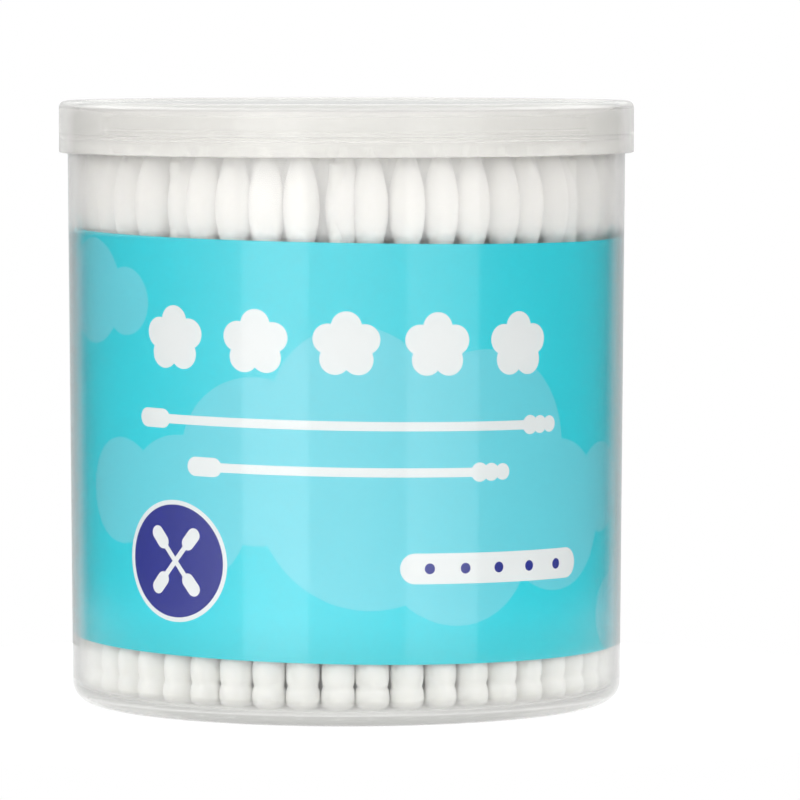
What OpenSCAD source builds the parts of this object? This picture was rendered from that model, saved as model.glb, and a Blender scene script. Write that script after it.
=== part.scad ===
// Round tub of cotton swabs: a thin drafted tub with a foot ring and a snap bead, a press-on
// lid, a rolled label sheet inside the wall, and swabs that stand in rings from the wall inwards.
// Origin: middle of the foot ring on the table, +Z up. The front of the label faces -Y.

/* [Tub] */
// Height of the tub up to its rim
tub_h = 79.9; // [60:0.1:120]
// Outside diameter of the wall at the rim
mouth_d = 75.2; // [60:0.1:100]
// Draft of the wall, which narrows towards the foot
draft = 0.43; // [0:0.01:1]
// Thickness of the wall
wall_t = 0.6; // [0.4:0.05:0.8]
// Thickness of the floor
floor_t = 1.0; // [0.6:0.1:2]
// Height of the foot ring below the floor
foot_ring_h = 0.6; // [0.2:0.1:1.5]
// Width of the foot ring's flat
foot_ring_w = 2.0; // [1:0.1:4]
// Radius of the outer corner between wall and foot
corner_r = 2.6; // [1.5:0.1:4]
// Radius of the inner corner between wall and floor
inner_corner_r = 1.2; // [0.6:0.1:1.6]
// Diameter of the round gate well in the underside of the floor
gate_well_d = 9; // [4:0.5:20]
// Depth of the gate well
gate_well_depth = 0.25; // [0.1:0.05:0.4]

/* [Lid] */
// Height of the lid from the bottom of its skirt to its rim
lid_h = 6.9; // [5:0.1:12]
// Thickness of the lid's top at its raised rim
lid_top_t = 1.0; // [0.7:0.05:2]
// Depth of the panel below the raised rim
lid_recess = 0.35; // [0.1:0.05:0.5]
// Width of the raised rim
lid_rim_w = 2.4; // [1.2:0.1:6]
// Radius of the lid's upper edge
lid_edge_r = 0.9; // [0.3:0.05:0.95]
// Thickness of the skirt
skirt_t = 0.7; // [0.4:0.05:0.75]

/* [Snap beads] */
// Height of the tub's bead below the rim
bead_drop = 2.7; // [1.5:0.1:4]
// How far the tub's bead stands out of the wall
bead_out = 0.2; // [0.1:0.02:0.3]
// Height of each bead
bead_h = 0.7; // [0.4:0.1:1.2]
// How far the lid's bead stands into the skirt
lid_bead_in = 0.15; // [0.05:0.01:0.3]
// Radial clearance between the tub's bead and the lid's bead
bead_gap = 0.1; // [0.05:0.01:0.2]
// Vertical distance from the tub's bead down to the lid's bead
bead_step = 0.9; // [0.8:0.1:1.5]

/* [Label sheet] */
// Height of the middle of its lower edge above the table
sheet_z = 8.3; // [4:0.1:14]
// Distance from the middle of its upper edge up to the tub's rim
sheet_drop = 16.9; // [8:0.1:30]
// Thickness of the sheet
sheet_t = 0.2; // [0.1:0.02:0.3]
// Lean of the rolled sheet's edges, with the left side higher
sheet_lean = 1.1; // [0:0.1:2]
// Length of the lap at the back, where one end lies inside the other
sheet_lap = 12; // [4:1:30]
// Clearance between the sheet and the wall, and between the two ends at the lap
sheet_gap = 0.05; // [0.02:0.01:0.1]

/* [Swabs] */
// Number of swabs in the tub
swab_count = 200; // [50:1:201]
// Number of rings that they stand in
ring_total = 8; // [3:1:10]
// Radius of the innermost ring, as a share of the distance between rings
core_share = 0.6; // [0.5:0.05:0.95]
// Room between the tips and the top of the tub
tip_room = 4.3; // [2:0.1:12]
// Diameter of a cotton head that nothing squeezes
head_free_d = 5.0; // [3.4:0.05:6]
// Clearance between neighbouring heads, and between the outer ring and the sheet
swab_gap = 0.04; // [0.02:0.01:0.3]
// Angle by which each ring is turned from the ring outside it
ring_turn = 11; // [0:1:30]
// Diameter of a stick
stick_d = 2.3; // [1.8:0.05:2.6]
// Radial clearance between a stick and the bore in its cotton
cotton_fit = 0.02; // [0.01:0.01:0.05]

/* [Pointed head] */
// Length of the pointed head above its neck
point_l = 13.7; // [9:0.1:18]
// Length of the neck of cotton wound on the stick below the head
neck_l = 5.2; // [1:0.1:8]
// Thickness of the cotton at the neck
neck_t = 0.24; // [0.15:0.02:0.4]
// Place of the widest part, as a share of the head's length from the tip
point_widest = 0.65; // [0.45:0.01:0.75]
// Length of cotton beyond the end of the stick
point_over = 2.6; // [1:0.1:5]
// Diameter of the blunt end of the tip
tip_d = 0.6; // [0.3:0.1:1]

/* [Spiral head] */
// Length of the spiral head
spiral_l = 13.9; // [9:0.1:18]
// Number of lobes
spiral_lobes = 4; // [2:1:6]
// Share of its cotton that the lobe next to the stick has less than the end lobe
lobe_fade = 0.55; // [0:0.01:0.7]
// Depth of the groove between lobes, as a share of the cotton's thickness
lobe_groove = 0.3; // [0.1:0.01:0.5]
// Diameter of the flat on the end, on which the swab stands
end_flat_d = 2.4; // [1:0.1:3]
// Length of cotton beyond the end of the stick
spiral_over = 1.2; // [0.6:0.1:3]

/* [Hidden] */
$fn = 96;
swab_fn = 36;
sheet_step = 3;
edge_steps = 5;

// Radii of the drafted wall at a height
function wall_out_r(z) = mouth_d / 2 - (tub_h - z) * tan(draft);
function wall_in_r(z) = wall_out_r(z) - wall_t;

floor_z = foot_ring_h + floor_t;
rim_round = wall_t / 3;
bead_z = tub_h - bead_drop;
lid_bead_z = bead_z - bead_step;
lid_top_z = tub_h + lid_top_t;
skirt_z = lid_top_z - lid_h;
skirt_in_r = wall_out_r(bead_z) + bead_out + bead_gap + lid_bead_in;
lid_r = skirt_in_r + skirt_t;
sheet_h = tub_h - sheet_drop - sheet_z;
swab_l = tub_h - floor_z - tip_room;
stick_l = swab_l - point_over - spiral_over;
bore_d = stick_d + 2 * cotton_fit;
point_total = point_l + neck_l;

// Points of an arc, from one angle to another
function arc(cx, cz, r, from, to, n = edge_steps) =
    [for (i = [0:n]) let (a = from + (to - from) * i / n) [cx + r * cos(a), cz + r * sin(a)]];

// Points of a bead on a wall, going up it
function bead(r, z, out) = [for (a = [-90:30:90]) [r + out * cos(a), z + bead_h / 2 * sin(a)]];

// Angle of the lap and the sheet's lowest point, which sets the room inside it
lap_angle = sheet_lap / wall_in_r(sheet_z) * 180 / PI;
sheet_low_z = sheet_z - wall_in_r(sheet_z) * tan(sheet_lean);
sheet_room_r = wall_in_r(sheet_low_z) - 2 * (sheet_gap + sheet_t);

// The rings share the radius evenly, and the heads are squeezed into the distance between them.
// The outer ring clears the sheet with its heads, and the floor's corner with its ends.
ring_share = ring_total - 1 + core_share;
end_room_r = wall_in_r(floor_z) - inner_corner_r - end_flat_d / 2;
head_d = min(head_free_d,
             (2 * sheet_room_r - swab_gap) / (2 * ring_share + 1) - swab_gap,
             end_room_r / ring_share - swab_gap);
outer_ring_r = min(sheet_room_r - swab_gap - head_d / 2, end_room_r);
function ring_r(i) = outer_ring_r * (1 - i / ring_share);

// Each ring holds as many as stand side by side in it, and spare places are spread over the rings
function ring_room(i) = floor(180 / asin(0.5 / (ring_share - i)));
function room_outside(i) = i == 0 ? 0 : room_outside(i - 1) + ring_room(i - 1);
function placed(i) = round(room_outside(i) * min(1, swab_count / room_outside(ring_total)));
function ring_count(i) = placed(i + 1) - placed(i);

RINGS = [for (i = [0:ring_total - 1]) i];
function sticks_name(i) = str("sticks_ring_", i + 1);
function pointed_name(i) = str("pointed_heads_ring_", i + 1);
function spiral_name(i) = str("spiral_heads_ring_", i + 1);

// Outer side of the tub: foot ring, rounded corner, drafted wall and snap bead
function tub_outside() = concat(
    [[0, foot_ring_h + gate_well_depth], [gate_well_d / 2, foot_ring_h + gate_well_depth],
     [gate_well_d / 2, foot_ring_h],
     [wall_out_r(0) - corner_r - foot_ring_w - foot_ring_h, foot_ring_h],
     [wall_out_r(0) - corner_r - foot_ring_w, 0]],
    arc(wall_out_r(corner_r) - corner_r, corner_r, corner_r, -90, 0, 8),
    bead(wall_out_r(bead_z), bead_z, bead_out));

// Rounded rim of the tub and the inner side down to the floor
function tub_inside() = concat(
    arc(mouth_d / 2 - rim_round, tub_h - rim_round, rim_round, 0, 90, 3),
    arc(mouth_d / 2 - wall_t + rim_round, tub_h - rim_round, rim_round, 90, 180, 3),
    arc(wall_in_r(floor_z + inner_corner_r) - inner_corner_r, floor_z + inner_corner_r,
        inner_corner_r, 0, -90),
    [[0, floor_z]]);

module tub() {
    color([0.93, 0.94, 0.93, 0.45])
        rotate_extrude()
            polygon(concat(tub_outside(), tub_inside()));
}

// Lid: recessed panel inside a raised rim, rounded edge, skirt with an inner bead
module lid() {
    rim_in_r = lid_r - lid_edge_r - lid_rim_w;
    skirt_foot = skirt_t / 4;
    color([0.93, 0.94, 0.93, 0.45])
        rotate_extrude()
            polygon(concat(
                [[0, lid_top_z - lid_recess], [rim_in_r - lid_recess, lid_top_z - lid_recess],
                 [rim_in_r, lid_top_z]],
                arc(lid_r - lid_edge_r, lid_top_z - lid_edge_r, lid_edge_r, 90, 0),
                arc(lid_r - skirt_foot, skirt_z + skirt_foot, skirt_foot, 0, -90, 2),
                arc(skirt_in_r + skirt_foot, skirt_z + skirt_foot, skirt_foot, -90, -180, 2),
                bead(skirt_in_r, lid_bead_z, -lid_bead_in),
                [[skirt_in_r, tub_h], [0, tub_h]]));
}

// Label sheet: rolled on the cone of the wall, its ends lapped at the back, its edges leaning
function sheet_inset(a) = sheet_gap
    + (sheet_t + sheet_gap) * (1 - min(1, max(0, (a - lap_angle) / (2 * lap_angle))));
function sheet_point(a, z, depth) =
    let (phi = 90 - lap_angle / 2 + a,
         level = z - wall_in_r(z) * cos(phi) * tan(sheet_lean),
         r = wall_in_r(level) - sheet_inset(a) - depth)
    [r * cos(phi), r * sin(phi), level];

module label_sheet() {
    cuts = ceil((360 + lap_angle) / sheet_step);
    stations = [for (i = [0:cuts]) (360 + lap_angle) * i / cuts];
    points = [for (a = stations) each [
        sheet_point(a, sheet_z, 0), sheet_point(a, sheet_z + sheet_h, 0),
        sheet_point(a, sheet_z + sheet_h, sheet_t), sheet_point(a, sheet_z, sheet_t)]];
    sides = [for (i = [0:cuts - 1], k = [0:3])
        let (k2 = (k + 1) % 4) [4 * i + k, 4 * i + k2, 4 * i + 4 + k2, 4 * i + 4 + k]];
    color([0.27, 0.79, 0.85])
        polyhedron(points, concat([[3, 2, 1, 0]], sides,
            [[4 * cuts, 4 * cuts + 1, 4 * cuts + 2, 4 * cuts + 3]]), convexity = 4);
}

// Stands its children at each place of one ring
module in_ring(i) {
    for (k = [0:ring_count(i) - 1])
        rotate(360 * k / ring_count(i) + ring_turn * i)
            translate([ring_r(i), 0, floor_z])
                children();
}

module sticks(i) {
    color([0.95, 0.95, 0.94])
        in_ring(i)
            translate([0, 0, spiral_over])
                cylinder(d = stick_d, h = stick_l, $fn = swab_fn);
}

// Radius of the pointed head at a share of its length from the tip, 1 at its widest
function point_swell(t) = t < point_widest
    ? pow(sin(90 * t / point_widest), 0.7)
    : pow(cos(90 * (t - point_widest) / (1 - point_widest)), 0.7);
function point_r(t) = let (low = (t < point_widest ? tip_d : stick_d + 2 * neck_t) / 2)
    low + (head_d / 2 - low) * point_swell(t);

module pointed_heads(i) {
    neck_r = stick_d / 2 + neck_t;
    shares = [1, 0.94, 0.84, point_widest, 0.44, 0.27, 0.12, 0.03, 0];
    color("white")
        in_ring(i)
            translate([0, 0, swab_l - point_total])
                rotate_extrude($fn = swab_fn)
                    polygon(concat(
                        [[bore_d / 2, 0], [neck_r, 0]],
                        [for (t = shares) [point_r(t), point_total - t * point_l]],
                        [[0, point_total], [0, point_total - point_over],
                         [bore_d / 2, point_total - point_over]]));
}

// Spiral head: lobes that shrink towards the stick, the first of them rounded to its flat end
lobe_l = spiral_l / spiral_lobes;
function lobe_cotton(j) =
    (head_d - stick_d) / 2 * (1 - lobe_fade * pow(j / (spiral_lobes - 1), 2));
function lobe_r(j) = stick_d / 2 + lobe_cotton(j);
function groove_r(j) = stick_d / 2 + lobe_cotton(j) * (1 - lobe_groove);

module spiral_heads(i) {
    flat_r = end_flat_d / 2;
    end_round = [for (a = [-90:30:0])
        [flat_r + (lobe_r(0) - flat_r) * cos(a), lobe_l / 2 * (1 + sin(a))]];
    lobes = [for (j = [1:spiral_lobes - 1], s = [0:2])
        [s == 0 ? groove_r(j) : lobe_r(j), lobe_l * (j + s / 3)]];
    color("white")
        in_ring(i)
            rotate_extrude($fn = swab_fn)
                polygon(concat([[0, 0]], end_round, [[lobe_r(0), lobe_l * 0.8]], lobes,
                    [[groove_r(spiral_lobes - 1), spiral_l], [bore_d / 2, spiral_l],
                     [bore_d / 2, spiral_over], [0, spiral_over]]));
}

tub();
lid();
label_sheet();
for (i = RINGS) {
    sticks(i);
    pointed_heads(i);
    spiral_heads(i);
}
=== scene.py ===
# %% [markdown]
# # A tub of cotton swabs, dressed for its picture
# The object is a round tub of milky polypropylene with a press-on lid. A printed sheet is rolled inside
# the wall, and swabs stand in it with their pointed heads up. The frame that is loaded here holds the
# true sizes of every piece, so nothing in this lesson has to be fitted: each new piece is drawn where
# the frame says, and then takes the place of its plain solid.

# %% Load the frame
import math
import random
import bpy
from mathutils import Matrix, Vector


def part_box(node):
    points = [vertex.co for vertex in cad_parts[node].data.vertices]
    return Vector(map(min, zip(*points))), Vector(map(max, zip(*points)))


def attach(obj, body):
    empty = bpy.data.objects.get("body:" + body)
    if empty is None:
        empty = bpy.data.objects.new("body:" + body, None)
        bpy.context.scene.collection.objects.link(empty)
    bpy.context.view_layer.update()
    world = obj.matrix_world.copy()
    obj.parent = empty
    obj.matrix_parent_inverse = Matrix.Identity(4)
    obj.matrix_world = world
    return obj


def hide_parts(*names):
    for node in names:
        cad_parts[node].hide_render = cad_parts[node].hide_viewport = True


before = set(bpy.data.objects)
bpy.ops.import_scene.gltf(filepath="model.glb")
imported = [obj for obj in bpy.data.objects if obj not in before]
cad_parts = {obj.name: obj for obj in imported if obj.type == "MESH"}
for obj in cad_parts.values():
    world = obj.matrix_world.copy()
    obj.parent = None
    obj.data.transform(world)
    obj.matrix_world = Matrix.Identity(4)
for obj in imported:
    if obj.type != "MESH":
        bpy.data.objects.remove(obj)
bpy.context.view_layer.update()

MM = 0.001

# %% [markdown]
# ## Helpers for colours and materials
# Colours are given as sRGB hex values, but shaders add light in linear values, so one function
# turns the first into the second. A material is a small graph, and one function adds a node to it with
# its settings and its links, which keeps each material readable as a list of steps. A noise texture's
# scale is the number of its patches in a metre, so a scale of 1000 draws them a millimetre wide.

# %% Colour and node helpers
COLOURS = {"data_type": "RGBA"}
SMOOTH = {"interpolation_type": "SMOOTHSTEP"}


def linear(code, alpha=1.0):
    """Linear colour of an sRGB hex code."""
    channels = [int(code[i:i + 2], 16) / 255 for i in (1, 3, 5)]
    return [c / 12.92 if c <= 0.04045 else ((c + 0.055) / 1.055) ** 2.4 for c in channels] + [alpha]


def add_node(tree, kind, settings=None, **inputs):
    """Adds a node. Settings are its own options, inputs are values, or outputs to link, by socket name."""
    node = tree.nodes.new(kind)
    for name, value in (settings or {}).items():
        setattr(node, name, value)
    for name, value in inputs.items():
        socket = node.inputs[int(name[1:])] if name[1:].isdigit() else node.inputs[name.replace("_", " ")]
        if isinstance(value, bpy.types.NodeSocket):
            tree.links.new(value, socket)
        else:
            socket.default_value = value
    return node


def new_material(name):
    """An empty material and its node tree."""
    material = bpy.data.materials.new(name)
    material.use_nodes = True
    material.node_tree.nodes.clear()
    return material, material.node_tree


def paint(piece, *materials):
    """Gives a piece these materials and no others."""
    piece.data.materials.clear()
    for material in materials:
        piece.data.materials.append(material)


# %% [markdown]
# ## Sizes
# A drawing of the tub would give the same few numbers: the drafted wall, the foot, the beads and the
# lid. They are in millimetres here. What can be read from the frame is read from it, so that the looks
# follow the solids when those change.

# %% Sizes of the tub
TUB_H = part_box("tub")[1].z / MM
MOUTH_D = 75.2
DRAFT = math.radians(0.43)
WALL_T = 0.6
FLOOR_T = 1.0
FOOT_RING_H = 0.6
FOOT_RING_W = 2.0
CORNER_R = 2.6
INNER_CORNER_R = 1.2
GATE_WELL_D = 9.0
GATE_WELL_DEPTH = 0.25
GATE_WELL_SLOPE = 0.3
FLOOR_Z = FOOT_RING_H + FLOOR_T
ROUND_SIDES = 192
print(f"tub {TUB_H:.1f} mm high and {MOUTH_D:.1f} mm across the mouth")

# %% Sizes of the lid and of the beads that hold it
lid_low, lid_high = [Vector(corner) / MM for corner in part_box("lid")]
LID_D = lid_high.x - lid_low.x
LID_TOP = lid_high.z
SKIRT_Z = lid_low.z
SKIRT_T = 0.7
LID_RECESS = 0.35
LID_RIM_W = 2.4
LID_EDGE_R = 0.9
BEAD_Z = TUB_H - 2.7
BEAD_H = 0.7
BEAD_OUT = 0.2
BEAD_STEP = 0.9
LID_BEAD_IN = 0.15
print(f"lid {LID_D:.1f} mm across, its skirt from {SKIRT_Z:.1f} mm up")


# %% Lines of the half sections
def wall_out(z):
    """Outer radius of the drafted wall at a height."""
    return MOUTH_D / 2 - (TUB_H - z) * math.tan(DRAFT)


def wall_in(z):
    """Inner radius of the drafted wall at a height."""
    return wall_out(z) - WALL_T


def arc(cx, cz, r, start, end, steps):
    """Points of an arc in the half section, angles in degrees."""
    angles = [math.radians(start + (end - start) * i / steps) for i in range(steps + 1)]
    return [(cx + r * math.cos(a), cz + r * math.sin(a)) for a in angles]


def bead(r, z, out, steps=8):
    """Points of a small bead on a wall, going up it."""
    angles = [math.radians(-90 + 180 * i / steps) for i in range(steps + 1)]
    return [(r + out * math.cos(a), z + BEAD_H / 2 * math.sin(a)) for a in angles]


print(f"the wall's radius grows from {wall_out(0):.2f} to {wall_out(TUB_H):.2f} mm")

# %% [markdown]
# ## Turning a shell by hand
# Both mouldings are round, so each is drawn like a pot on a wheel: a filled circle is the first face,
# and it is extruded, moved and scaled again and again along the half section, out over the foot, up the
# wall, over the rim and down the inside. The face that is left closes the shell. Spin would do the
# same, but this way the rings stay in order and both ends are closed from the start.

# %% A helper that turns a half section
def settle(name):
    """Names the new object, and puts its place into its mesh, so that its origin is the frame's."""
    piece = bpy.context.object
    piece.name = piece.data.name = name
    bpy.ops.object.transform_apply(location=True, rotation=True, scale=True)
    return piece


def turned(name, section, sides=ROUND_SIDES, sharp=35):
    """A closed round shell with this half section, given in mm from one end face to the other."""
    bpy.ops.object.select_all(action="DESELECT")
    r, z = section[0]
    bpy.ops.mesh.primitive_circle_add(vertices=sides, radius=r * MM, fill_type="NGON",
                                      location=(0, 0, z * MM))
    bpy.ops.object.mode_set(mode="EDIT")
    bpy.ops.mesh.select_all(action="SELECT")
    for next_r, next_z in section[1:]:
        bpy.ops.mesh.extrude_region_move(TRANSFORM_OT_translate={"value": (0, 0, (next_z - z) * MM)})
        bpy.ops.transform.resize(value=(next_r / r, next_r / r, 1), center_override=(0, 0, next_z * MM))
        r, z = next_r, next_z
    bpy.ops.mesh.select_all(action="SELECT")
    bpy.ops.mesh.normals_make_consistent(inside=False)
    bpy.ops.object.mode_set(mode="OBJECT")
    piece = settle(name)
    bpy.ops.object.shade_smooth_by_angle(angle=math.radians(sharp))
    return piece


# %% [markdown]
# ## The tub
# The real tub is injection moulded, so its wall leans out a little towards the mouth to leave the
# mould. It stands on a foot ring, its foot corner is rounded and a little thicker than the wall, and a
# snap bead runs round it under the lid. Its half section starts in the gate well underneath, where the
# plastic flowed in.

# %% Model the tub
foot_in = wall_out(0) - CORNER_R - FOOT_RING_W
rim_r = WALL_T / 3
inner_corner_z = FLOOR_Z + INNER_CORNER_R
tub_section = (
    [(GATE_WELL_D / 2 - GATE_WELL_SLOPE, FOOT_RING_H + GATE_WELL_DEPTH), (GATE_WELL_D / 2, FOOT_RING_H),
     (foot_in - FOOT_RING_H, FOOT_RING_H), (foot_in, 0)]
    + arc(wall_out(CORNER_R) - CORNER_R, CORNER_R, CORNER_R, -90, 0, 12)
    + bead(wall_out(BEAD_Z), BEAD_Z, BEAD_OUT)
    + arc(MOUTH_D / 2 - rim_r, TUB_H - rim_r, rim_r, 0, 90, 4)
    + arc(MOUTH_D / 2 - WALL_T + rim_r, TUB_H - rim_r, rim_r, 90, 180, 4)
    + arc(wall_in(inner_corner_z) - INNER_CORNER_R, inner_corner_z, INNER_CORNER_R, 0, -90, 6))
tub_shell = turned("tub_shell", tub_section)
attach(tub_shell, "tub")
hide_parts("tub")
print("tub shell:", len(tub_shell.data.polygons), "faces")

# %% [markdown]
# ## The lid
# The lid is a second moulding. Its panel lies a little below a raised rim, its edge is rounded, and its
# skirt reaches down over the tub's bead. It is turned from the middle of the panel out over the rim,
# down the skirt and up again inside.

# %% Model the lid
skirt_in = LID_D / 2 - SKIRT_T
skirt_foot = SKIRT_T / 4
rim_in = LID_D / 2 - LID_EDGE_R - LID_RIM_W
lid_section = (
    [(rim_in - 2 * LID_RECESS, LID_TOP - LID_RECESS), (rim_in - LID_RECESS, LID_TOP - 0.9 * LID_RECESS),
     (rim_in, LID_TOP - 0.1 * LID_RECESS), (rim_in + LID_RECESS, LID_TOP)]
    + arc(LID_D / 2 - LID_EDGE_R, LID_TOP - LID_EDGE_R, LID_EDGE_R, 90, 0, 8)
    + arc(LID_D / 2 - skirt_foot, SKIRT_Z + skirt_foot, skirt_foot, 0, -90, 3)
    + arc(skirt_in + skirt_foot, SKIRT_Z + skirt_foot, skirt_foot, -90, -180, 3)
    + bead(skirt_in, BEAD_Z - BEAD_STEP, -LID_BEAD_IN)
    + [(skirt_in, TUB_H)])
lid_shell = turned("lid_shell", lid_section)
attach(lid_shell, "lid")
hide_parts("lid")
print("lid shell:", len(lid_shell.data.polygons), "faces")

# %% [markdown]
# ## The rolled label sheet
# The print isn't on the tub. It is on a thin film that was rolled up and dropped inside, where it
# sprang open against the wall, with its two ends lapped at the back. So it is made the same way: a flat
# grid, which brings its UV map with it, is rolled onto the cone of the wall by a formula. It leans by a
# degree, because nobody pushed it straight, and it rises towards its ends, because a straight edge
# can't follow a level line round a cone. Solidify then gives the film its thickness.

# %% Sizes of the sheet
SHEET_Z = 8.3
SHEET_DROP = 16.9
SHEET_H = TUB_H - SHEET_DROP - SHEET_Z
SHEET_T = 0.2
SHEET_LAP = 12.0
SHEET_GAP = 0.05
SHEET_LEAN = math.radians(1.0)
lap_angle = SHEET_LAP / wall_in(SHEET_Z)
whole_angle = 2 * math.pi + lap_angle
SHEET_L = whole_angle * wall_in(SHEET_Z + SHEET_H / 2)
print(f"the flat sheet is {SHEET_L:.0f} by {SHEET_H:.1f} mm")


# %% Roll the sheet onto the wall
def rolled(u, v):
    """Place in metres of a point of the flat sheet, whose u and v run from 0 to 1."""
    turn = u * whole_angle
    phi = (math.pi - lap_angle) / 2 + turn
    z = SHEET_Z + v * SHEET_H
    from_front = (u - 0.5) * SHEET_L
    rise = from_front ** 2 / 2 * math.sin(DRAFT) / wall_in(z)
    level = z + rise - wall_in(z) * math.cos(phi) * math.tan(SHEET_LEAN)
    overlap = 1 - min(1, max(0, (turn - lap_angle) / (2 * lap_angle)))
    r = wall_in(level) - SHEET_GAP - (SHEET_T + SHEET_GAP) * overlap
    return Vector((r * math.cos(phi), r * math.sin(phi), level)) * MM


bpy.ops.object.select_all(action="DESELECT")
bpy.ops.mesh.primitive_grid_add(x_subdivisions=190, y_subdivisions=6, size=1, calc_uvs=True)
label_film = settle("label_film")
for vertex in label_film.data.vertices:
    vertex.co = rolled(vertex.co.x + 0.5, vertex.co.y + 0.5)
film_wall = label_film.modifiers.new("film thickness", "SOLIDIFY")
film_wall.thickness = SHEET_T * MM
film_wall.offset = -1
bpy.ops.object.modifier_apply(modifier=film_wall.name)
bpy.ops.object.shade_smooth_by_angle(angle=math.radians(30))
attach(label_film, "tub")
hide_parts("label_sheet")
print("label film:", len(label_film.data.polygons), "faces")

# %% [markdown]
# ## Where the swabs stand
# The swabs stand in rings. The frame gives the outer ring: its first stick stands at angle 0, so the
# far side of that node's box, less half a stick, is the ring's radius. The other rings follow at even
# steps.

# %% Places of the swabs
STICK_D = 2.3
RING_COUNTS = [47, 41, 34, 28, 22, 16, 9, 3]
CORE_SHARE = 0.6
RING_TURN = math.radians(11)
ring_share = len(RING_COUNTS) - 1 + CORE_SHARE
outer_ring_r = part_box("sticks_ring_1")[1].x / MM - STICK_D / 2
HEAD_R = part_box("pointed_heads_ring_1")[1].x / MM - outer_ring_r
TIP_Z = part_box("pointed_heads_ring_1")[1].z / MM
print(f"outer ring radius {outer_ring_r:.2f} mm, heads {2 * HEAD_R:.2f} mm across, tips at {TIP_Z:.1f} mm")


def places(ring):
    """Angle and radius in mm of each swab of a ring, counted from 0 at the wall."""
    r = outer_ring_r * (1 - ring / ring_share)
    count = RING_COUNTS[ring]
    return [(2 * math.pi * k / count + RING_TURN * ring, r) for k in range(count)]


# %% [markdown]
# ## Cotton heads
# Each swab has two different heads. The upper one is wound to a point, widest a little below its
# middle, and runs out in a neck on the stick. The lower one is wound in four lobes that get smaller
# towards the stick. Both are turned from a half section. The swabs at the wall show, so theirs get many
# steps and sides and are a touch fatter, as cotton that is pressed against the plastic is. Those behind
# only have to fill the tub.

# %% Half sections of the two heads
POINT_L = 13.7
NECK_L = 5.2
NECK_R = STICK_D / 2 + 0.24
WIDEST = 0.6
TIP_R = 0.3
POINT_BLUNT = 0.9
SPIRAL_L = 13.9
LOBES = 4
END_R = 0.7
END_BLUNT = 0.7
LOBE_GROOVE = 0.13


def point_section(r, steps):
    """Pointed head, from the blunt tip down to the neck on the stick."""
    section = []
    for i in range(steps + 1):
        t = 0.5 - 0.5 * math.cos(math.pi * i / steps)
        if t < WIDEST:
            low, swell = TIP_R, math.sin(math.pi / 2 * t / WIDEST) ** POINT_BLUNT
        else:
            fall = math.cos(math.pi / 2 * (t - WIDEST) / (1 - WIDEST))
            low, swell = NECK_R, max(0, fall) ** POINT_BLUNT
        section.append((low + (r - low) * swell, TIP_Z - t * POINT_L))
    return section + [(NECK_R, TIP_Z - POINT_L - NECK_L)]


def spiral_section(r, steps):
    """Spiral head, from the small flat that it stands on up to the stick, lobe by lobe."""
    lobe_l = SPIRAL_L / LOBES
    section = [(END_R, FLOOR_Z)]
    for j in range(LOBES):
        full = STICK_D / 2 + (r - STICK_D / 2) * (1 - 0.5 * (j / (LOBES - 1)) ** 2)
        for i in range(1, steps):
            t = i / steps
            if j == 0 and t < 0.5:
                lobe = END_R + (full - END_R) * math.sin(math.pi * t) ** END_BLUNT
            else:
                lobe = full * (1 - LOBE_GROOVE * abs(2 * t - 1) ** 3)
            section.append((lobe, FLOOR_Z + lobe_l * (j + t)))
        section.append((full * (1 - LOBE_GROOVE), FLOOR_Z + lobe_l * (j + 1)))
    return section


# %% Turn one head of each kind
front_heads = (turned("front_point", point_section(1.09 * HEAD_R, 16), 24),
               turned("front_spiral", spiral_section(1.02 * HEAD_R, 6), 24))
back_heads = (turned("back_point", point_section(HEAD_R, 5), 10),
              turned("back_spiral", spiral_section(HEAD_R, 2), 8))
for head in front_heads + back_heads:
    print(head.name, len(head.data.polygons), "faces")

# %% [markdown]
# ## Filling the tub
# Each head is copied to its places, each copy with its own mesh. The real swabs aren't on a grid: they
# lean a little, bulge where they are squeezed, and some stand back from the wall. So each swab gets a
# small turn, lean and squeeze of its own from a seeded random draw, used for both its ends. The lean is
# written as a shear, but an object holds only a place, a turn and a scale, so Blender makes it a tilt of
# half to two thirds as much. That is a degree at most, so a swab keeps its height within 0.03 mm.

# %% A swab's own place and lean
SET_BACK = (3, 10, 16, 24, 30, 35, 43)
SET_BACK_BY = 2.2
LEAN_OUT = (0.2, 0.4)
LEAN_ACROSS = (-0.7, 0.7)
SWELL = (0.0, 0.05)
SQUEEZE = (0.95, 1.0)


def swab_matrix(angle, r, out, draw, lively):
    """Moves a swab that is modelled on the axis to its place, with its own small lean and squeeze."""
    across = draw.uniform(*LEAN_ACROSS)
    swell = draw.uniform(*SWELL)
    squeeze = draw.uniform(*SQUEEZE)
    spin = draw.uniform(0, 2 * math.pi)
    lean = Matrix.Identity(4)
    lean[0][2] = out / TIP_Z
    lean[1][2] = lively * across / TIP_Z
    wide = 1 + lively * swell
    size = Matrix.Diagonal((wide, wide * (1 + lively * (squeeze - 1)), 1, 1))
    place = Matrix.Rotation(angle, 4, "Z") @ Matrix.Translation((r * MM, 0, 0))
    return place @ lean @ size @ Matrix.Rotation(spin, 4, "Z")


# %% Copies in their places
def stand_copies(master, name, ring, lively):
    """Copies a head to each place of a ring and joins the copies in one piece."""
    draw = random.Random(40 + ring)
    bpy.ops.object.select_all(action="DESELECT")
    for k, (angle, r) in enumerate(places(ring)):
        out = -SET_BACK_BY if ring == 0 and k in SET_BACK else lively * draw.uniform(*LEAN_OUT)
        copy = bpy.data.objects.new(name, master.data.copy())
        bpy.context.collection.objects.link(copy)
        copy.matrix_world = swab_matrix(angle, r, out, draw, lively)
        copy.select_set(True)
        bpy.context.view_layer.objects.active = copy
    bpy.ops.object.transform_apply(location=True, rotation=True, scale=True)
    bpy.ops.object.join()
    return settle(name)


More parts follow.
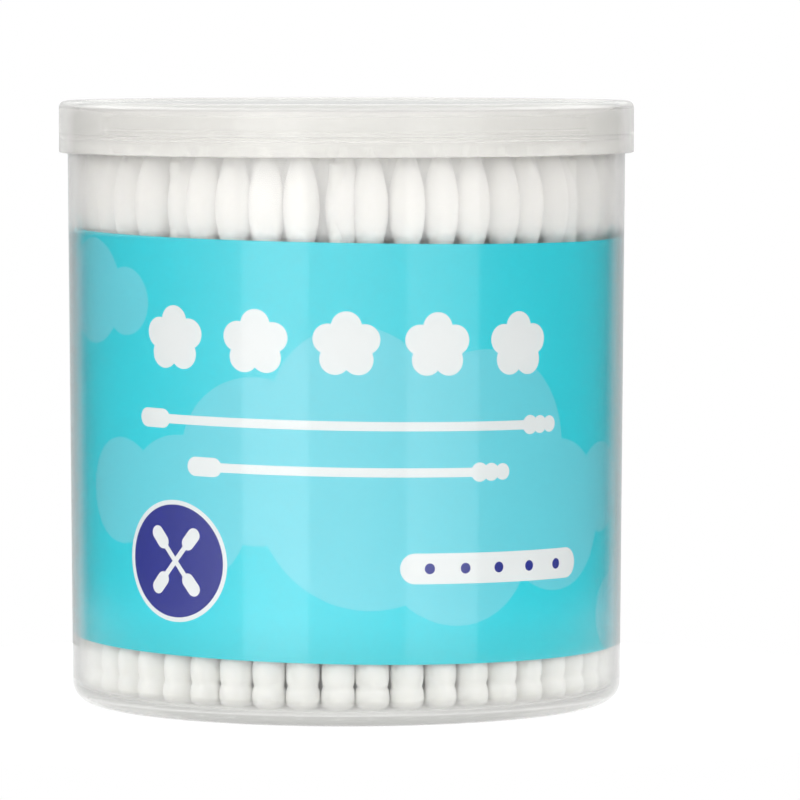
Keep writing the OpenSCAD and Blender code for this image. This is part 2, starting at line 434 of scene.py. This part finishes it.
cotton_pieces = []
for ring in range(len(RING_COUNTS)):
    heads, lively = (front_heads, 1) if ring == 0 else (back_heads, 0.5)
    for head, word in zip(heads, ("pointed", "spiral")):
        piece = stand_copies(head, f"{word}_cotton_ring_{ring + 1}", ring, lively)
        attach(piece, "tub")
        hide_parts(f"{word}_heads_ring_{ring + 1}")
        cotton_pieces.append(piece)
bpy.ops.object.select_all(action="DESELECT")
for head in front_heads + back_heads:
    bpy.data.objects.remove(head)
print("cotton pieces:", len(cotton_pieces), "faces:", sum(len(p.data.polygons) for p in cotton_pieces))

# %% [markdown]
# ## Milky polypropylene
# The tub and the lid are natural polypropylene, injection moulded. The plastic isn't clear: its
# crystals scatter light, so what touches the wall shows sharply and what stands back is blurred. Rough
# transmission gives the blur. Where the plastic is thick, at the foot corner and in the lid, it looks
# white, and a share of plain white surface gives that. On top of the lid's panel that surface is grey
# instead: painted shade that takes down the strong light from above. A colour ramp over the height holds
# all this: each stop's colour is the plastic's or the painted shade's, and its alpha is the share of light
# that is let through. The mould polished the outer face, and left the inner one matt. The flow of the
# melt makes both a little uneven, in patches of about 11 mm.

# %% Plastic for the tub and the lid
def milky_plastic(name, stops, roughness, shine):
    """Natural polypropylene. Each stop is a height in mm, a colour and the share of light let through."""
    material, tree = new_material(name)
    place = add_node(tree, "ShaderNodeTexCoord")
    flow = add_node(tree, "ShaderNodeTexNoise", Vector=place.outputs["Object"], Scale=90, Detail=3)
    rough = add_node(tree, "ShaderNodeMapRange", _0=flow.outputs[0],
                     _3=roughness * 0.85, _4=roughness * 1.15)
    height = add_node(tree, "ShaderNodeSeparateXYZ", Vector=place.outputs["Object"])
    level = add_node(tree, "ShaderNodeMapRange", _0=height.outputs["Z"], _2=LID_TOP * MM)
    milk = add_node(tree, "ShaderNodeValToRGB", Fac=level.outputs[0])
    for z, colour, clear in stops:
        milk.color_ramp.elements.new(z / LID_TOP).color = linear(colour, clear)
    for end in (-1, 0):
        milk.color_ramp.elements.remove(milk.color_ramp.elements[end])
    shader = add_node(tree, "ShaderNodeBsdfPrincipled", Base_Color=milk.outputs["Color"],
                      Roughness=rough.outputs[0], IOR=1.49, Transmission_Weight=milk.outputs["Alpha"],
                      Specular_IOR_Level=shine)
    add_node(tree, "ShaderNodeOutputMaterial", Surface=shader.outputs[0])
    return material


def coat_shell(shell, outside, inside):
    """Outer faces get the polished plastic, and inner faces, which look at the axis, the matt one."""
    paint(shell, outside, inside)
    for face in shell.data.polygons:
        face.material_index = int(face.normal.x * face.center.x + face.normal.y * face.center.y < 0)


tub_stops = [(1.0, "#D9D9D6", 0.5), (3.4, "#F6F6F4", 1.0), (8, "#F6F6F4", 1.0), (14, "#FDFDFC", 1.0),
             (63.2, "#FDFDFC", 1.0), (64.6, "#FCFBF9", 0.84)]
# The last lid stop is grey: painted shade on the top panel, which takes down the strong light from above.
lid_milk_and_painted_shade = [(79.0, "#F8F7F4", 0.75), (80.25, "#F6F5F2", 0.7), (80.55, "#D2D2CF", 0.6)]
coat_shell(tub_shell, milky_plastic("natural polypropylene, polished side", tub_stops, 0.1, 0.5),
           milky_plastic("natural polypropylene, matt side", tub_stops, 0.14, 0.0))
coat_shell(lid_shell, milky_plastic("milky polypropylene, painted shade on top, polished side", lid_milk_and_painted_shade, 0.16, 0.3),
           milky_plastic("milky polypropylene, painted shade on top, matt side", lid_milk_and_painted_shade, 0.18, 0.0))
print("plastics:", [slot.name for shell in (tub_shell, lid_shell) for slot in shell.material_slots])

# %% [markdown]
# ## Cotton
# Cotton fibres are wound round the stick, so the finest lines run round the head. They are about 0.02
# mm thick, far too fine to show, so the bump's lines are drawn some ten times coarser, a quarter of a
# millimetre apart. Light sinks into the wad and comes out a millimetre or two away, which keeps the
# gaps between heads pale, and a soft sheen stands for the fuzz.

# %% Cotton for the heads
cotton, tree = new_material("cotton, wound")
place = add_node(tree, "ShaderNodeTexCoord")
wound = add_node(tree, "ShaderNodeMapping", Vector=place.outputs["Object"], Scale=(900, 900, 4200))
fibres = add_node(tree, "ShaderNodeTexNoise", Vector=wound.outputs[0], Scale=1, Detail=4, Roughness=0.6)
bump = add_node(tree, "ShaderNodeBump", Strength=0.2, Distance=0.00012, Height=fibres.outputs[0])
tone = add_node(tree, "ShaderNodeMix", COLOURS, _0=fibres.outputs[0],
                _6=linear("#FAF9F6"), _7=linear("#FEFDFB"))
shader = add_node(tree, "ShaderNodeBsdfPrincipled", Base_Color=tone.outputs[2], Roughness=0.95,
                  Sheen_Weight=0.25, Sheen_Roughness=0.6, Specular_IOR_Level=0.2,
                  Subsurface_Weight=0.5, Subsurface_Radius=(1, 1, 0.95), Subsurface_Scale=0.0015,
                  Normal=bump.outputs[0])
add_node(tree, "ShaderNodeOutputMaterial", Surface=shader.outputs[0])
for piece in cotton_pieces:
    paint(piece, cotton)
print("cotton on", len(cotton_pieces), "pieces")

# %% [markdown]
# ## Sticks
# The sticks are white plastic, pulled out of a die, which leaves faint streaks along them. The frame's
# sticks have the right shape already, so they stay and only get this finish. The streaks are 0.4 mm
# apart.

# %% White plastic for the sticks
stick_white, tree = new_material("white stick, extruded")
place = add_node(tree, "ShaderNodeTexCoord")
drawn = add_node(tree, "ShaderNodeMapping", Vector=place.outputs["Object"], Scale=(2500, 2500, 60))
streaks = add_node(tree, "ShaderNodeTexNoise", Vector=drawn.outputs[0], Scale=1, Detail=2)
gloss = add_node(tree, "ShaderNodeMapRange", _0=streaks.outputs[0], _3=0.35, _4=0.5)
shader = add_node(tree, "ShaderNodeBsdfPrincipled", Base_Color=linear("#F3F3F0"),
                  Roughness=gloss.outputs[0], IOR=1.5)
add_node(tree, "ShaderNodeOutputMaterial", Surface=shader.outputs[0])
stick_nodes = [node for name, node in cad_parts.items() if name.startswith("sticks_ring_")]
for node in stick_nodes:
    paint(node, stick_white)
print("stick nodes painted:", len(stick_nodes))

# %% [markdown]
# ## The print
# The film carries flat fields of colour with sharp edges, so it needs no picture: every mark is a block
# with round corners, and a disc or a slim bar is only such a block with equal sides or no width. The
# distance from a point to the nearest point of a plain rectangle says whether it lies in the block. The
# UV map is scaled to millimetres, with 0 in the middle of the front and at the lower edge.

# %% Marks of the print
film, tree = new_material("polypropylene film, printed")
flat = add_node(tree, "ShaderNodeUVMap", {"uv_map": label_film.data.uv_layers[0].name})
print_mm = add_node(tree, "ShaderNodeMapping", Vector=flat.outputs[0], Location=(-SHEET_L / 2, 0, 0),
                    Scale=(SHEET_L, SHEET_H, 1)).outputs[0]


def block(left, low, right, high, radius, point=print_mm):
    """Mask of a block with round corners, its size counted between the middles of the corners."""
    near = add_node(tree, "ShaderNodeVectorMath", {"operation": "MAXIMUM"}, _0=point, _1=(left, low, 0))
    near = add_node(tree, "ShaderNodeVectorMath", {"operation": "MINIMUM"}, _0=near.outputs[0],
                    _1=(right, high, 0))
    away = add_node(tree, "ShaderNodeVectorMath", {"operation": "DISTANCE"}, _0=point, _1=near.outputs[0])
    return add_node(tree, "ShaderNodeMath", {"operation": "LESS_THAN"}, _0=away.outputs["Value"],
                    _1=radius).outputs[0]


def disc(u, v, r):
    """Mask of a disc."""
    return block(u, v, u, v, r)


def together(masks):
    """One mask of many."""
    whole = masks[0]
    for mask in masks[1:]:
        whole = add_node(tree, "ShaderNodeMath", {"operation": "MAXIMUM"}, _0=whole, _1=mask).outputs[0]
    return whole


def inked(under, mask, ink):
    """Prints an ink over what is there already."""
    return add_node(tree, "ShaderNodeMix", COLOURS, _0=mask, _6=under, _7=linear(ink)).outputs[2]


# %% [markdown]
# ## The design
# The design is a plain one of its own: a bank of pale cloud on turquoise, a row of cotton bolls, two
# swabs lying in line, a round navy badge with two crossed swabs, and a white bar with five dots. The
# cloud at the back crosses the lap, so it is drawn once from each end of the sheet.

# %% Ground with clouds
TURQUOISE = "#2BD1E0"
CLOUD = "#66D2E1"
NAVY = "#18248A"
WHITE = "#E8EBEC"
front_cloud = [(-34, 21, 7), (-23, 19, 10), (-12, 26, 11), (3, 22, 15), (1, 33, 11), (19, 28, 13),
               (31, 19, 10), (15, 16, 11), (42, 22, 6), (-48, 46, 5), (-41, 47, 7), (-33, 46, 4.5),
               (46, 5, 5), (52, 7, 7), (59, 5, 5)]
back_cloud = [(end + u, v, r) for end in (SHEET_LAP - SHEET_L / 2, SHEET_L / 2)
              for u, v, r in ((-26, 18, 8), (-14, 22, 12), (2, 26, 15), (18, 20, 11), (29, 17, 7))]
clouds = together([disc(*lobe) for lobe in front_cloud + back_cloud])
colour = inked(linear(TURQUOISE), clouds, CLOUD)
print("discs in the clouds:", len(front_cloud + back_cloud))

# %% Bolls, swabs and bar in white
BAR_V = 12.5


def boll(u, v, size):
    """A cotton boll: five round tufts about a middle one."""
    tufts = [(0, 0.95), (-0.95, 0.3), (0.95, 0.3), (-0.6, -0.75), (0.6, -0.75), (0, 0)]
    return [disc(u + x * size, v + y * size, 0.8 * size) for x, y in tufts]


def lying_swab(middle, v, half, thick):
    """A swab that lies along the sheet: stick, pointed head and lobed head."""
    head = 4.4 * thick
    return ([block(middle - half, v, middle + half, v, thick),
             block(middle - half - head, v, middle - half, v, 2.1 * thick)]
            + [disc(middle + half + i * 2.9 * thick, v, (2.1 - 0.15 * i) * thick) for i in (2, 1, 0)])


white_marks = [mask for u in (-24, -12, 0, 12, 24) for mask in boll(u, 41.5, 2.5)]
white_marks += lying_swab(0, 31.0, 26, 0.6) + lying_swab(0, 25.0, 18, 0.6)
white_marks.append(block(9, BAR_V, 33, BAR_V, 2.0))
colour = inked(colour, together(white_marks), WHITE)
colour = inked(colour, together([disc(u, BAR_V, 0.7) for u in (11, 16, 21, 26, 31)]), NAVY)
print("white marks:", len(white_marks))

# %% Badge with two crossed swabs
BADGE_U = -24
BADGE_V = 12.4
BADGE_R = 7.4
BADGE_EDGE = 0.6
colour = inked(colour, disc(BADGE_U, BADGE_V, BADGE_R + BADGE_EDGE), WHITE)
colour = inked(colour, disc(BADGE_U, BADGE_V, BADGE_R), NAVY)
crossed = []
for turn in (-40, 40):
    across = add_node(tree, "ShaderNodeMapping", {"vector_type": "TEXTURE"}, Vector=print_mm,
                      Location=(BADGE_U, BADGE_V, 0), Rotation=(0, 0, math.radians(turn))).outputs[0]
    crossed += [block(0, -4, 0, 4, 0.35, across), block(0, 3.2, 0, 4.6, 0.95, across),
                block(0, -4.6, 0, -3.2, 0.95, across)]
colour = inked(colour, together(crossed), WHITE)
print("nodes in the print:", len(tree.nodes))

# %% [markdown]
# ## The film's finish
# The film is polypropylene too, printed on the side that touches the wall. Plastic on plastic leaves
# hardly any gloss between them, and all that shines is the wall's own outer face. So the print gets no
# gloss of its own. The whole film has this one material: its back carries the same print, and the swabs
# hide it.

# %% Finish of the film
shader = add_node(tree, "ShaderNodeBsdfPrincipled", Base_Color=colour, Roughness=0.5,
                  Specular_IOR_Level=0.0)
add_node(tree, "ShaderNodeOutputMaterial", Surface=shader.outputs[0])
paint(label_film, film)
print("materials on the film:", [slot.name for slot in label_film.material_slots])

# %% [markdown]
# ## A lit table
# Packs like this are photographed on a lit white table, which leaves no shadow and lights the foot from
# below. So the floor glows by itself and hardly answers to other light. Its glow is a touch uneven, in
# patches of 25 mm. It is small, because a wide one would lie in the wall's reflections.

# %% Floor
FLOOR_R = 0.085
bpy.ops.object.select_all(action="DESELECT")
bpy.ops.mesh.primitive_circle_add(vertices=96, radius=FLOOR_R, fill_type="NGON")
floor = settle("floor")
lit_table, tree = new_material("lit white table")
place = add_node(tree, "ShaderNodeTexCoord")
grain = add_node(tree, "ShaderNodeTexNoise", Vector=place.outputs["Object"], Scale=40)
glow = add_node(tree, "ShaderNodeMapRange", _0=grain.outputs[0], _3=0.88, _4=0.92)
shader = add_node(tree, "ShaderNodeBsdfPrincipled", Base_Color=linear("#606060"), Roughness=0.9,
                  Specular_IOR_Level=0.0, Emission_Color=linear("#FFFFFF"),
                  Emission_Strength=glow.outputs[0])
add_node(tree, "ShaderNodeOutputMaterial", Surface=shader.outputs[0])
paint(floor, lit_table)
print(f"floor {2 * FLOOR_R / MM:.0f} mm across")

# %% [markdown]
# ## The studio
# A round wall mirrors a whole room, squeezed into upright bands, so the room is drawn as a sky. Near
# the horizon it is brightest behind the camera and dark at the sides, which gives the print its soft
# shine in the middle and its depth at the sides. Above that a band of strong light, brighter still at
# the sides, stands for the large lamps that light the cotton. Each zone is laid over the ones before
# it, along one axis of the direction that a ray takes. The camera itself sees plain white.

# %% World
BRIGHTEST = math.radians(-12)
world = bpy.data.worlds.new("studio")
bpy.context.scene.world = world
world.use_nodes = True
tree = world.node_tree
tree.nodes.clear()
direction = add_node(tree, "ShaderNodeTexCoord").outputs["Generated"]
axes = add_node(tree, "ShaderNodeSeparateXYZ", Vector=direction)
towards = add_node(tree, "ShaderNodeVectorMath", {"operation": "DOT_PRODUCT"}, _0=direction,
                   _1=(math.sin(BRIGHTEST), -math.cos(BRIGHTEST), 0))
front = add_node(tree, "ShaderNodeMapRange", _0=towards.outputs["Value"], _1=-1)
front = add_node(tree, "ShaderNodeMath", {"operation": "POWER"}, _0=front.outputs[0], _1=4)
room = add_node(tree, "ShaderNodeMapRange", _0=front.outputs[0], _3=0.08, _4=2.1)
aside = add_node(tree, "ShaderNodeMath", {"operation": "ABSOLUTE"}, _0=axes.outputs["X"])
lamps = add_node(tree, "ShaderNodeMapRange", _0=aside.outputs[0], _3=3.12, _4=4.45)
behind = add_node(tree, "ShaderNodeMapRange", SMOOTH, _0=axes.outputs["Y"], _1=0.3, _2=0.8)
lamps = add_node(tree, "ShaderNodeMix", _0=behind.outputs[0], _2=lamps.outputs[0], _3=1.3)
zones = [("Y", 0.72, 0.88, 0.72), ("Z", -0.15, -0.4, 0.45), ("Z", 0.1, 0.26, lamps.outputs[0]),
         ("Z", 0.55, 0.8, 1.3)]
for axis, start, full, strength in zones:
    zone = add_node(tree, "ShaderNodeMapRange", SMOOTH, _0=axes.outputs[axis], _1=start, _2=full)
    room = add_node(tree, "ShaderNodeMix", _0=zone.outputs[0], _2=room.outputs[0], _3=strength)
seen = add_node(tree, "ShaderNodeLightPath").outputs["Is Camera Ray"]
room = add_node(tree, "ShaderNodeMix", _0=seen, _2=room.outputs[0], _3=1.0)
backdrop = add_node(tree, "ShaderNodeBackground", Color=linear("#FFFFFF"), Strength=room.outputs[0])
add_node(tree, "ShaderNodeOutputWorld", Surface=backdrop.outputs[0])
print("zones laid over the room:", len(zones))

# %% [markdown]
# ## Softboxes
# Two tall softboxes stand left and right of the camera. The sky gives the light, and these only give
# their reflections, the two broad upright streaks on the wall, so they are shown to glossy rays alone.

# %% Lamps for the two streaks
BOX_AWAY = 0.5
BOX_MIDDLE = 0.02
BOX_H = 0.3
BOX_POWER = 0.3


def softbox(name, azimuth, width):
    """A tall lamp that faces the tub, its azimuth counted from the camera's side to the right."""
    angle = math.radians(azimuth)
    stand = (BOX_AWAY * math.sin(angle), -BOX_AWAY * math.cos(angle), BOX_MIDDLE)
    bpy.ops.object.light_add(type="AREA", location=stand)
    lamp = bpy.context.object
    lamp.name = name
    lamp.data.shape = "RECTANGLE"
    lamp.data.size = width
    lamp.data.size_y = BOX_H
    lamp.data.energy = BOX_POWER
    lamp.rotation_euler = (math.pi / 2, 0, angle)
    lamp.visible_camera = lamp.visible_diffuse = lamp.visible_transmission = False


softbox("left softbox", -28.5, 0.24)
softbox("right softbox", 39, 0.27)

# %% [markdown]
# ## Camera
# The picture was taken from a little above the lid with a long lens, so the rims are flat ellipses. The
# object stands left of the middle, and the lens is shifted for that, because a turned camera would make
# the walls lean.

# %% Camera
CAMERA_Y = -0.850
CAMERA_Z = 0.092
TILT_DOWN = 3.47
FOCAL_PX = 6298
IMAGE_PX = 800
TUB_MIDDLE_PX = 346.4
bpy.ops.object.camera_add(location=(0, CAMERA_Y, CAMERA_Z), rotation=(math.radians(90 - TILT_DOWN), 0, 0))
camera = bpy.context.object
camera.data.sensor_width = 36
camera.data.lens = FOCAL_PX / IMAGE_PX * camera.data.sensor_width
camera.data.shift_x = (IMAGE_PX / 2 - TUB_MIDDLE_PX) / IMAGE_PX
bpy.context.scene.camera = camera
bpy.context.scene.view_settings.view_transform = "Standard"
print(f"lens {camera.data.lens:.0f} mm, shifted by {camera.data.shift_x:.3f}")
